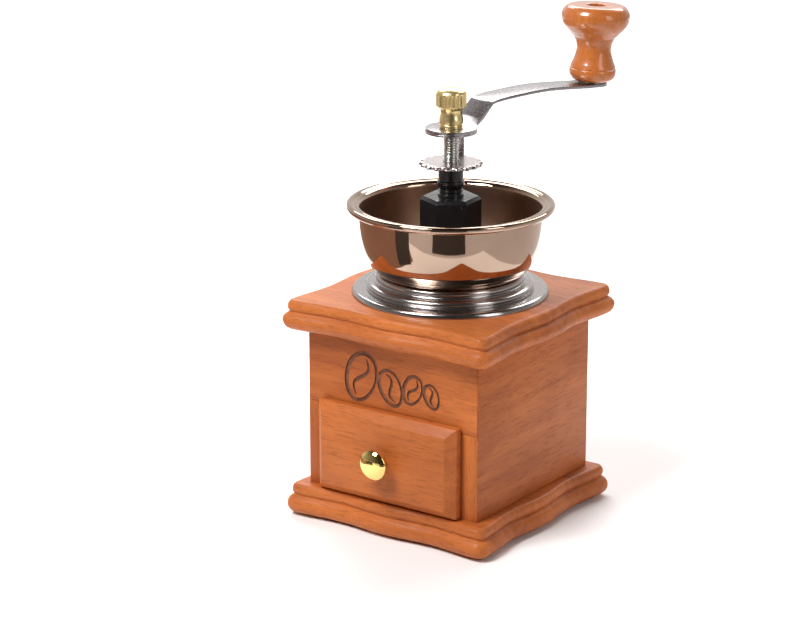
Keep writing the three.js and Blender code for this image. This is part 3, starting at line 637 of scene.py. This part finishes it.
def ribbon(points, width, depth_from, depth_to, closed):
    """A flat line of changing width in X and Z, as a solid between two Y levels."""
    bm = bmesh.new()
    count = len(points)
    rings = []
    for i, point in enumerate(points):
        before = points[i - 1] if closed or i else point
        after = points[(i + 1) % count] if closed or i < count - 1 else point
        along = (after - before).normalized()
        side = Vector((-along.y, along.x)) * width(i / (count - 1)) / 2
        corners = [(point + side, depth_from), (point - side, depth_from),
                   (point - side, depth_to), (point + side, depth_to)]
        rings.append([bm.verts.new((corner.x, y, corner.y)) for corner, y in corners])
    pairs = list(zip(rings, rings[1:])) + ([(rings[-1], rings[0])] if closed else [])
    for first, second in pairs:
        for k in range(4):
            n = (k + 1) % 4
            bm.faces.new((first[k], first[n], second[n], second[k]))
    if not closed:
        bm.faces.new(rings[0])
        bm.faces.new(reversed(rings[-1]))
    bmesh.ops.recalc_face_normals(bm, faces=bm.faces)
    for face in bm.faces:
        face.material_index = 1
    return bm


def bean_lines(centre, height, tilt_degrees):
    """The oval and the crease of one bean, as (points, width, closed)."""
    turn = Matrix.Rotation(math.radians(tilt_degrees), 2)
    wide = height * 0.34
    oval = [centre + turn @ Vector((
        wide * math.cos(a) * (1 + 0.08 * math.sin(a)), height / 2 * math.sin(a)))
        for a in (2 * math.pi * i / 56 for i in range(56))]
    crease = [centre + turn @ Vector((
        -wide * 0.34 * math.sin(2 * math.pi * t), height * 0.40 * (2 * t - 1)))
        for t in (i / 28 for i in range(29))]
    stroke = 0.75 + height * 0.045
    return [
        (oval, lambda t: stroke * (0.75 + 0.45 * math.sin(math.pi * t)), True),
        (crease, lambda t: stroke * (0.25 + 0.75 * math.sin(math.pi * t)), False),
    ]


rail = eased_copy("front_rail", EDGE)
rail_front = low("front_rail").y
# Each bean is (middle, height, tilt in degrees).
BEANS = [
    ((-14.5, 61.5), 20.0, -18), ((-0.5, 59.5), 14.5, 24),
    ((9.8, 60.5), 12.0, -22), ((18.6, 59.5), 9.5, 20),
]
for centre, height, tilt in BEANS:
    for points, width, closed in bean_lines(Vector(centre), height, tilt):
        groove = ribbon(points, width, rail_front - 1, rail_front + GROOVE_DEPTH, closed)
        rail = boolean(rail, groove)
# The front is shaded flat, because smooth shading leaves patches between the grooves.
board = finish_piece("front_rail_board", rail, ["wood_across", "wood_burnt"], ["front_rail"])
for polygon in board.data.polygons:
    if abs(polygon.normal.y) > 0.9999:
        polygon.use_smooth = False
print("beans on the rail:", len(BEANS))

# %% [markdown]
# ## The drawer
# The drawer front is a thick board with a broad 45 degree chamfer, and it laps over the frame. Behind
# it the drawer is plain unstained wood. The knob is a small polished mushroom on a thin stem.

# %% Drawer
finish_piece("drawer_front_board", eased_copy("drawer_front", 0.35), ["wood_across"], ["drawer_front"])
for node in ("drawer_left_side", "drawer_right_side", "drawer_back", "drawer_bottom"):
    finish_piece(node + "_board", eased_copy(node, 0.5), ["wood_plain"], [node])

knob_low, knob_high = low("drawer_knob"), high("drawer_knob")
knob_length = knob_high.y - knob_low.y
knob_radius = (knob_high.x - knob_low.x) / 2
KNOB_PROFILE = [
    (0, 0), (0.42, 0, 0.3), (0.40, 0.08, 0.6), (0.35, 0.22, 1.0), (0.35, 0.45, 0.8), (0.46, 0.56, 0.6),
    (0.90, 0.61, 0.8), (1.0, 0.67, 0.5), (0.985, 0.74, 0.6), (0.80, 0.88, 1.2), (0.45, 0.975, 1.4), (0, 1.0),
]
profile = [(r * knob_radius, h * knob_length, *ease) for r, h, *ease in KNOB_PROFILE]
lay_forward = Matrix.Translation((0, knob_high.y, (knob_low.z + knob_high.z) / 2)) @ Matrix.Rotation(
    math.pi / 2, 4, "X")
knob = moved(turned(eased(profile, steps=6), 96), lay_forward)
finish_piece("drawer_knob_turned", knob, ["knob_gold"], ["drawer_knob"], 50)

# %% [markdown]
# ## Bowl and ring
# The bowl is one spun sheet: a curved wall, a shoulder under the rim and a rolled bead round the
# top. It sits on a stepped ring: a flat foot with two rounded steps above it.

# %% Bowl and ring
ring_low, ring_high = low("hopper_base_ring"), high("hopper_base_ring")
ring_radius, ring_height = ring_high.x, ring_high.z - ring_low.z
RING_BORE = 26.5
RING_STEPS = [
    (0.0, 0.0), (0.08, 0.7, 0.3), (0.45, 1.55, 0.6), (1.2, 2.15, 0.5), (2.0, 2.25, 0.25), (6.15, 2.3, 0.25),
    (6.2, 2.75, 0.25), (5.85, 3.2, 0.4), (5.85, 3.9, 0.5), (6.3, 4.6, 0.6), (7.4, 5.1, 0.5),
    (9.45, 5.35, 0.3), (9.75, 5.75, 0.25), (9.45, 6.3, 0.4), (9.4, 7.0, 0.4), (9.7, 7.7, 0.4),
    (10.5, 8.15, 0.3), (11.2, 8.2),
]
drawn_height = RING_STEPS[-1][1]
ring = [
    (ring_radius - inset, ring_low.z + level * ring_height / drawn_height, *ease)
    for inset, level, *ease in RING_STEPS]
ring = [(RING_BORE, ring_low.z)] + ring + [(RING_BORE, ring_high.z)]
finish_piece("stepped_ring", turned(eased(ring, True, 5), 160, True), ["ring_chrome"],
             ["hopper_base_ring"], 50)

bowl_low, bowl_high = low("hopper_bowl"), high("hopper_bowl")
rim, floor_z, top_z = bowl_high.x, bowl_low.z, bowl_high.z
WALL = 0.9
wall_top, belly_height = rim - 4.8, top_z - 3.5 - floor_z


def belly(outwards, up, inset=0.0, ease=3.0):
    return RING_BORE + (wall_top - RING_BORE) * outwards - inset, floor_z + belly_height * up, ease


bowl = [
    (RING_BORE, floor_z), belly(0.17, 0, 0, 0.8), belly(0.34, 0.045, 0, 1.0), belly(0.48, 0.1, 0, 1.2),
    belly(0.64, 0.21, 0, 2.0), belly(0.77, 0.33), belly(0.87, 0.47), belly(0.945, 0.63), belly(0.99, 0.81),
    (wall_top, top_z - 3.5, 0.6), (rim - 4.1, top_z - 3.0, 0.5), (rim - 0.9, top_z - 3.0, 1.2),
    (rim, top_z - 1.9, 1.0), (rim - 0.1, top_z - 0.5, 1.0), (rim - 1.2, top_z, 1.0),
    (rim - 2.6, top_z - 0.25, 0.7), (rim - 3.1, top_z - 0.75, 0.4), (rim - 3.7, top_z - 0.55, 0.4),
    (rim - 4.6, top_z - 0.8, 0.6), (wall_top - WALL, top_z - 2.0, 0.8), belly(0.99, 0.81, WALL),
    belly(0.945, 0.64, WALL), belly(0.87, 0.49, WALL), belly(0.76, 0.35, WALL), belly(0.63, 0.24, WALL, 2.0),
    belly(0.4, 0.14, 0, 1.5), belly(0.28, 0.085, 0, 1.0), belly(0.13, 0.04, 0, 1.0),
    (RING_BORE, floor_z + WALL),
]
# Faces below the rim that look inwards or upwards get the inside finish: duller, and with a darker colour
# that is painted shade.
spun = turned(eased(bowl, True, 8), 192, True)
for face in spun.faces:
    spot = face.calc_center_median()
    outward = (face.normal.x * spot.x + face.normal.y * spot.y) / math.hypot(spot.x, spot.y)
    face.material_index = int(spot.z < top_z - 2.2 and outward < 0.2 and face.normal.z > -0.2)
finish_piece("spun_bowl", spun, ["bowl_mirror", "bowl_inside_painted_shade"], ["hopper_bowl"], 60)
print("bowl rim", round(rim * 2, 1), "mm across, at", round(top_z, 1), "mm")

# %% [markdown]
# ## Hub and sleeve
# The hub is black moulded plastic: a six-sided head over three legs and a ring that is screwed to
# the lid. Out of it comes the sleeve that the shaft turns in, with a collar and two fine grooves.

# %% Hub and sleeve
finish_piece("moulded_hub", eased_copy("bearing_hub", 0.35), ["hub_black"], ["bearing_hub"])

sleeve_low, sleeve_high = low("bearing_sleeve"), high("bearing_sleeve")
hub_top = high("bearing_hub").z
collar_radius = sleeve_high.x
SLEEVE_RADIUS = 4.85
SHAFT_RADIUS = 3.0
bore = SHAFT_RADIUS + 0.1
groove = 0.45
sleeve = [(bore, sleeve_low.z), (SLEEVE_RADIUS, sleeve_low.z)]
for level in (hub_top + 1.2, hub_top + 2.6):
    sleeve += [(SLEEVE_RADIUS, level, 0.15), (SLEEVE_RADIUS - groove, level + 0.15, 0.1),
               (SLEEVE_RADIUS - groove, level + 0.75, 0.1), (SLEEVE_RADIUS, level + 0.9, 0.15)]
sleeve += [
    (SLEEVE_RADIUS, hub_top + 4.2, 0.15), (collar_radius, hub_top + 4.4, 0.3),
    (collar_radius, hub_top + 6.2, 0.3), (SLEEVE_RADIUS, hub_top + 6.4, 0.15),
    (SLEEVE_RADIUS, sleeve_high.z, 0.3), (bore, sleeve_high.z),
]
finish_piece("grooved_sleeve", turned(eased(sleeve, True), 96, True), ["hub_black"], ["bearing_sleeve"], 40)

# %% [markdown]
# ## Adjusting disc
# The disc is a pressing with scallops round its rim, and its edge is a little lower than its
# middle. The radius follows a cosine of the angle, which fades out towards the middle.

# %% Adjusting disc
disc_low, disc_high = low("adjusting_disc"), high("adjusting_disc")
SCALLOPS = 18
SCALLOP_DEPTH = 1.3
RIPPLE_START, RIPPLE_WIDTH = 0.8, 0.2  # shares of the disc radius
LOCK_ANGLE = math.radians(106)  # where the lock plate's leg hangs down through a scallop
disc_radius = 12.55


def scallop(angle, radius, height):
    share = max(radius / disc_radius - RIPPLE_START, 0) / RIPPLE_WIDTH
    return -SCALLOP_DEPTH * share * (1 + math.cos(SCALLOPS * (angle - LOCK_ANGLE))) / 2


disc_thickness = disc_high.z - disc_low.z
disc = [
    (SHAFT_RADIUS + 0.2, disc_low.z + 0.3), (disc_radius - 2.2, disc_low.z + 0.3, 0.6),
    (disc_radius - 1.1, disc_low.z, 0.3), (disc_radius - 0.2, disc_low.z, 0.25),
    (disc_radius, disc_low.z + disc_thickness * 0.45, 0.4), (disc_radius - 0.7, disc_high.z - 0.1, 0.5),
    (disc_radius - 2.6, disc_high.z, 0.6), (SHAFT_RADIUS + 0.2, disc_high.z),
]
finish_piece("scalloped_disc", turned(eased(disc, True, 5), SCALLOPS * 16, True, scallop), ["disc_plating"],
             ["adjusting_disc"], 50)
finish_piece("pressed_lock_plate", eased_copy("lock_plate", 0.22), ["crank_polish"], ["lock_plate"])

# %% [markdown]
# ## Crank
# The crank is a steel strip bent up from a round eye and arched out to the handle. Its edges are
# eased more than the lock plate's.

# %% Crank
finish_piece("bent_crank", eased_copy("crank_arm", 0.4, 40), ["crank_polish"], ["crank_arm"], 40)

# %% [markdown]
# ## Thumb nut
# The nut is turned brass: a banded foot, a flared waist and a knurled head under a low dome. The
# knurls are coarse upright flutes: the head's radius follows a power of a cosine of the angle.

# %% Thumb nut
nut_low, nut_high = low("thumb_nut"), high("thumb_nut")
nut_bottom, nut_top = nut_low.z, nut_high.z
HEAD_RADIUS = 5.93
FLUTES = 22
FLUTE_DEPTH = 0.55
flute_bottom, flute_top = nut_bottom + 8.2, nut_top - 2.3


def flutes(angle, radius, height):
    inside = min(height - flute_bottom, flute_top - height)
    fade = min(max(inside / 0.7 + 0.4, 0), 1)
    return -FLUTE_DEPTH * fade * (0.5 + 0.5 * math.cos(FLUTES * angle)) ** 1.5


nut = [
    (0, nut_bottom), (4.35, nut_bottom), (4.5, nut_bottom + 0.2, 0.15), (4.5, nut_bottom + 1.2, 0.2),
    (4.25, nut_bottom + 1.45, 0.15), (4.75, nut_bottom + 1.8, 0.2), (4.75, nut_bottom + 3.3, 1.2),
    (4.25, nut_bottom + 5.0, 1.6), (4.15, nut_bottom + 6.4, 1.2), (4.5, nut_bottom + 7.5, 0.8),
    (5.5, nut_bottom + 8.2, 0.4), (HEAD_RADIUS, nut_bottom + 8.7, 0.4),
]
steps = 8
fluted = flute_top - flute_bottom - 0.6
nut += [(HEAD_RADIUS, flute_bottom + 0.5 + fluted * i / steps) for i in range(steps + 1)]
nut += [(HEAD_RADIUS - 0.3, flute_top + 0.35, 0.3), (5.35, flute_top + 0.9, 0.5), (4.2, nut_top - 0.55, 0.9),
        (2.4, nut_top - 0.12, 1.0), (0, nut_top)]
finish_piece("knurled_nut", turned(eased(nut), FLUTES * 10, False, flutes), ["nut_brass"], ["thumb_nut"], 60)

# %% [markdown]
# ## Handle
# The handle is a turned wooden knob: a swelling foot, a waist between two scored lines and a broad
# flat-topped head with a hole for its bolt. It leans outwards a few degrees with the end of the
# crank, so its axis is read from the joint that it spins on.

# %% Handle
spin = next(joint for joint in frame["joints"] if joint["name"] == "handle_spin")
handle_axis = Vector(spin["axis"]).normalized()
handle_foot = Vector(spin["pos_m"]) / MM
stand = Matrix.Translation(handle_foot) @ handle_axis.to_track_quat("Z", "Y").to_matrix().to_4x4()
KNOB_FOOT = 0.5
BOLT_BORE = 2.4
RECESS = 3.7
RECESS_FLOOR = 23.5
knob_profile = [
    (BOLT_BORE, 0), (6.7, 0, 0.5), (8.5, 1.0, 1.0), (9.4, 2.8, 1.0), (9.5, 4.0, 0.6), (9.3, 4.95, 0.2),
    (8.9, 5.25, 0.12), (9.1, 5.6, 0.3), (8.7, 6.8, 1.0), (7.95, 8.5, 1.8), (7.4, 10.3, 2.0),
    (7.05, 12.2, 2.0),
    (7.0, 13.8, 1.5), (7.3, 15.5, 1.2), (7.95, 16.9, 0.3), (7.95, 17.2, 0.12), (8.3, 17.4, 0.2),
    (8.35, 17.75, 0.12), (8.7, 18.0, 0.3), (10.0, 19.4, 1.5), (11.7, 21.1, 2.0), (13.1, 23.0, 2.0),
    (13.8, 25.3, 1.8), (13.6, 27.4, 1.6), (12.6, 29.2, 1.4), (11.5, 30.15, 0.8), (10.7, 30.5, 0.35),
    (RECESS + 0.4, 30.5, 0.4), (RECESS, 30.1, 0.3),
    (RECESS, RECESS_FLOOR), (BOLT_BORE, RECESS_FLOOR),
]
profile = [(radius, height + KNOB_FOOT, *ease) for radius, height, *ease in knob_profile]
finish_piece("turned_handle", moved(turned(eased(profile, True, 6), 160, True), stand), ["wood_handle"],
             ["handle_knob"], 40)
print("handle leans", round(math.degrees(handle_axis.angle((0, 0, 1))), 1), "degrees")

# %% [markdown]
# ## Coils: the thread and the spring
# A screw thread and a spring are the same thing to a modeller: a section carried along a helix. One
# Geometry Nodes tree makes both. Its inputs include the radius, the height, the number of turns
# and the thickness of the section.

# %% The coil tree
def node_tree(name, inputs):
    tree = bpy.data.node_groups.new(name, "GeometryNodeTree")
    for label, kind in inputs:
        tree.interface.new_socket(label, in_out="INPUT", socket_type=kind)
    tree.interface.new_socket("Geometry", in_out="OUTPUT", socket_type="NodeSocketGeometry")
    return tree, tree.nodes.new("NodeGroupInput"), tree.nodes.new("NodeGroupOutput")


def add_node(tree, kind, links, **values):
    """One node; links are {input: the socket that feeds it}, values are set by input name."""
    node = tree.nodes.new(kind)
    for key, value in values.items():
        node.inputs[key.replace("_", " ")].default_value = value
    for key, source in links.items():
        tree.links.new(source, node.inputs[key])
    return node


def realised(tree, given, result, geometry):
    """Ends a tree the way an export needs: real geometry with its finish set."""
    real = add_node(tree, "GeometryNodeRealizeInstances", {"Geometry": geometry})
    painted = add_node(tree, "GeometryNodeSetMaterial", {
        "Geometry": real.outputs[0], "Material": given.outputs["Finish"]})
    tree.links.new(painted.outputs[0], result.inputs[0])


coil_tree, given, result = node_tree("coil", (
    ("Radius", "NodeSocketFloat"), ("Height", "NodeSocketFloat"), ("Turns", "NodeSocketFloat"),
    ("Section", "NodeSocketFloat"), ("Base", "NodeSocketVector"), ("Steps", "NodeSocketInt"),
    ("Finish", "NodeSocketMaterial"),
))
helix = add_node(coil_tree, "GeometryNodeCurveSpiral", {
    "Resolution": given.outputs["Steps"], "Rotations": given.outputs["Turns"],
    "Start Radius": given.outputs["Radius"], "End Radius": given.outputs["Radius"],
    "Height": given.outputs["Height"]})
section = add_node(coil_tree, "GeometryNodeCurvePrimitiveCircle", {
    "Radius": given.outputs["Section"]}, Resolution=8)
wire = add_node(coil_tree, "GeometryNodeCurveToMesh", {
    "Curve": helix.outputs[0], "Profile Curve": section.outputs[0]}, Fill_Caps=True)
raised = add_node(coil_tree, "GeometryNodeTransform", {
    "Geometry": wire.outputs[0], "Translation": given.outputs["Base"]})
realised(coil_tree, given, result, raised.outputs[0])


def grown(tree, start, settings):
    """Runs a tree on the start mesh and returns what it makes as a plain mesh."""
    holder = bpy.data.objects.new("holder", start)
    bpy.context.scene.collection.objects.link(holder)
    modifier = holder.modifiers.new("nodes", "NODES")
    modifier.node_group = tree
    for item in tree.interface.items_tree:
        if item.in_out == "INPUT" and item.name in settings:
            modifier[item.identifier] = settings[item.name]
    depsgraph = bpy.context.evaluated_depsgraph_get()
    mesh = bpy.data.meshes.new_from_object(holder.evaluated_get(depsgraph))
    holder.modifiers.clear()
    bpy.data.objects.remove(holder)
    return mesh


def coil(radius, bottom, top, turns, section, finish):
    return grown(coil_tree, bpy.data.meshes.new("holder"), {
        "Radius": radius * MM, "Height": (top - bottom) * MM, "Turns": float(turns), "Section": section * MM,
        "Base": (0, 0, bottom * MM), "Steps": 24, "Finish": FINISHES[finish]})


# %% Threaded shaft and spring
THREAD_PITCH = 1.0
shaft_low, shaft_high = low("shaft"), high("shaft")
thread_bottom = disc_high.z - 3.0
thread_top = high("lock_plate").z - 1.4

core = turned(eased([
    (0, shaft_low.z), (SHAFT_RADIUS - 0.4, shaft_low.z, 0.1), (SHAFT_RADIUS, shaft_low.z + 0.4, 0.1),
    (SHAFT_RADIUS, thread_bottom - 0.6, 0.1), (SHAFT_RADIUS - 0.55, thread_bottom, 0.2),
    (SHAFT_RADIUS - 0.55, shaft_high.z - 0.3, 0.2), (0, shaft_high.z),
]), 64)
thread_turns = (thread_top - thread_bottom) / THREAD_PITCH
ridge = coil(SHAFT_RADIUS - 0.45, thread_bottom, thread_top, thread_turns, 0.4, "thread_steel")
ridge_part = in_millimetres(ridge)
scaled_ridge = bpy.data.meshes.new("ridge")
ridge_part.to_mesh(scaled_ridge)
ridge_part.free()
core.from_mesh(scaled_ridge)
finish_piece("threaded_shaft", core, ["thread_steel"], ["shaft"], 45)

spring_low, spring_high = low("spring"), high("spring")
spring_wire = 0.55
SPRING_TURNS = 4
spring_radius = (spring_high.x - spring_low.x) / 2 - spring_wire
wound = coil(spring_radius, spring_low.z + spring_wire, spring_high.z - spring_wire, SPRING_TURNS,
             spring_wire, "thread_steel")
finish_piece("coil_spring", in_millimetres(wound), ["thread_steel"], ["spring"], 60)
print("thread turns:", round(thread_turns, 1))

# %% [markdown]
# ## Screws
# Each set of screws is one screw put down again. The second tree takes one finished
# screw and a few loose points, and stands a copy on each point.

# %% The screw tree
stud_tree, given, result = node_tree("screws", (
    ("Places", "NodeSocketGeometry"), ("Screw", "NodeSocketObject"), ("Turn", "NodeSocketVector"),
    ("Finish", "NodeSocketMaterial"),
))
pattern = add_node(stud_tree, "GeometryNodeObjectInfo", {"Object": given.outputs["Screw"]})
copies = add_node(stud_tree, "GeometryNodeInstanceOnPoints", {
    "Points": given.outputs["Places"], "Instance": pattern.outputs["Geometry"],
    "Rotation": given.outputs["Turn"]})
realised(stud_tree, given, result, copies.outputs[0])
POINTING_DOWN = (0, 0, 0)
POINTING_UP = (math.pi, 0, 0)
HEAD_RISE = 0.8  # height of a screw head over its radius


def cross_screw(shank, head, length):
    """A pan-head screw, head upwards from height 0, with a cross cut in it."""
    rise = head * HEAD_RISE
    bm = turned(eased([
        (0, -length), (shank * 0.9, -length + shank * 2, 0.3), (shank, 0), (head, 0, 0.1),
        (head, rise * 0.5, rise * 0.4), (head * 0.72, rise, rise * 0.4), (0, rise),
    ]), 48)
    for turn in (0, math.pi / 2):
        slot = bmesh.new()
        bmesh.ops.create_cube(slot, size=1)
        bar = Matrix.Diagonal((head * 1.2, head * 0.26, rise, 1))
        moved(slot, Matrix.Rotation(turn, 4, "Z") @ Matrix.Translation((0, 0, rise)) @ bar)
        bm = boolean(bm, slot)
    return bm


def screws(name, nodes, shank, head, heads_at, turn):
    """Copies of one screw whose heads sit at heads_at, standing in for the named nodes."""
    middles = [(low(node) + high(node)) / 2 for node in nodes]
    length = high(nodes[0]).z - low(nodes[0]).z - head * HEAD_RISE
    bm = cross_screw(shank, head, length)
    one = bpy.data.objects.new("one_screw", in_metres(name, bm))
    bpy.context.scene.collection.objects.link(one)
    places = bpy.data.meshes.new("places")
    places.from_pydata([(p.x * MM, p.y * MM, heads_at * MM) for p in middles], [], [])
    made = grown(stud_tree, places, {"Screw": one, "Turn": turn, "Finish": FINISHES["screw_zinc"]})
    bpy.data.objects.remove(one)
    finish_piece(name, in_millimetres(made), ["screw_zinc"], nodes, 40)


# %% Screws in place
SMALL_SHANK, SMALL_HEAD = 1.4, 2.4
LARGE_SHANK, LARGE_HEAD = 1.8, 3.4
flange_top = high("hub_screw_1").z - SMALL_HEAD * HEAD_RISE
burr_flange = low("burr_screw_1").z + SMALL_HEAD * HEAD_RISE
base_seat = low("base_screw_1").z + LARGE_HEAD * HEAD_RISE
hub_nodes = [f"hub_screw_{i}" for i in (1, 2, 3)]
burr_nodes = [f"burr_screw_{i}" for i in (1, 2, 3)]
base_nodes = [f"base_screw_{i}" for i in (1, 2, 3, 4)]
screws("hub_screws", hub_nodes, SMALL_SHANK, SMALL_HEAD, flange_top, POINTING_DOWN)
screws("burr_screws", burr_nodes, SMALL_SHANK, SMALL_HEAD, burr_flange, POINTING_UP)
screws("base_screws", base_nodes, LARGE_SHANK, LARGE_HEAD, base_seat, POINTING_UP)

# %% [markdown]
# ## What is left
# The bolt through the handle is peened over under the crank. The remaining small or hidden pieces
# keep the model's own shape and get the finish of what they are made of.

# %% Handle bolt and inner pieces
RIVET_RADIUS, RIVET_HEIGHT = 3.6, 0.9
CRANK_THICKNESS = 1.2
rivet_top = -CRANK_THICKNESS - 0.15
BOLT_RADIUS, BOLT_HEAD_RADIUS = 2.2, 2.9
bolt_top = KNOB_FOOT + RECESS_FLOOR + 0.2
bolt = [
    (0, rivet_top - RIVET_HEIGHT), (RIVET_RADIUS * 0.55, rivet_top - RIVET_HEIGHT * 0.88, 0.6),
    (RIVET_RADIUS * 0.92, rivet_top - RIVET_HEIGHT * 0.4, 0.4), (RIVET_RADIUS, rivet_top, 0.1),
    (BOLT_RADIUS, rivet_top), (BOLT_RADIUS, bolt_top), (BOLT_HEAD_RADIUS, bolt_top, 0.1),
    (BOLT_HEAD_RADIUS, bolt_top + 1.2, 0.5), (1.6, bolt_top + 2.2, 0.6),
    (0, bolt_top + 2.3),
]
finish_piece("peened_bolt", moved(turned(eased(bolt), 64), stand), ["crank_polish"], ["handle_bolt"], 45)

KEPT = {
    "base_pad": "pad_black", "thrust_washer": "screw_zinc", "handle_washer": "screw_zinc",
    "inner_burr": "burr_casting", "ring_burr": "burr_casting", "burr_nut": "screw_zinc",
    "spring_washer": "screw_zinc", "drawer_knob_screw": "screw_zinc",
    **{f"lid_dowel_{i}": "wood_plain" for i in (1, 2, 3, 4)},
}
for node, finish in KEPT.items():
    mesh = frame["nodes"][node].data
    mesh.materials.clear()
    mesh.materials.append(FINISHES[finish])
print("pieces kept from the model:", len(KEPT))
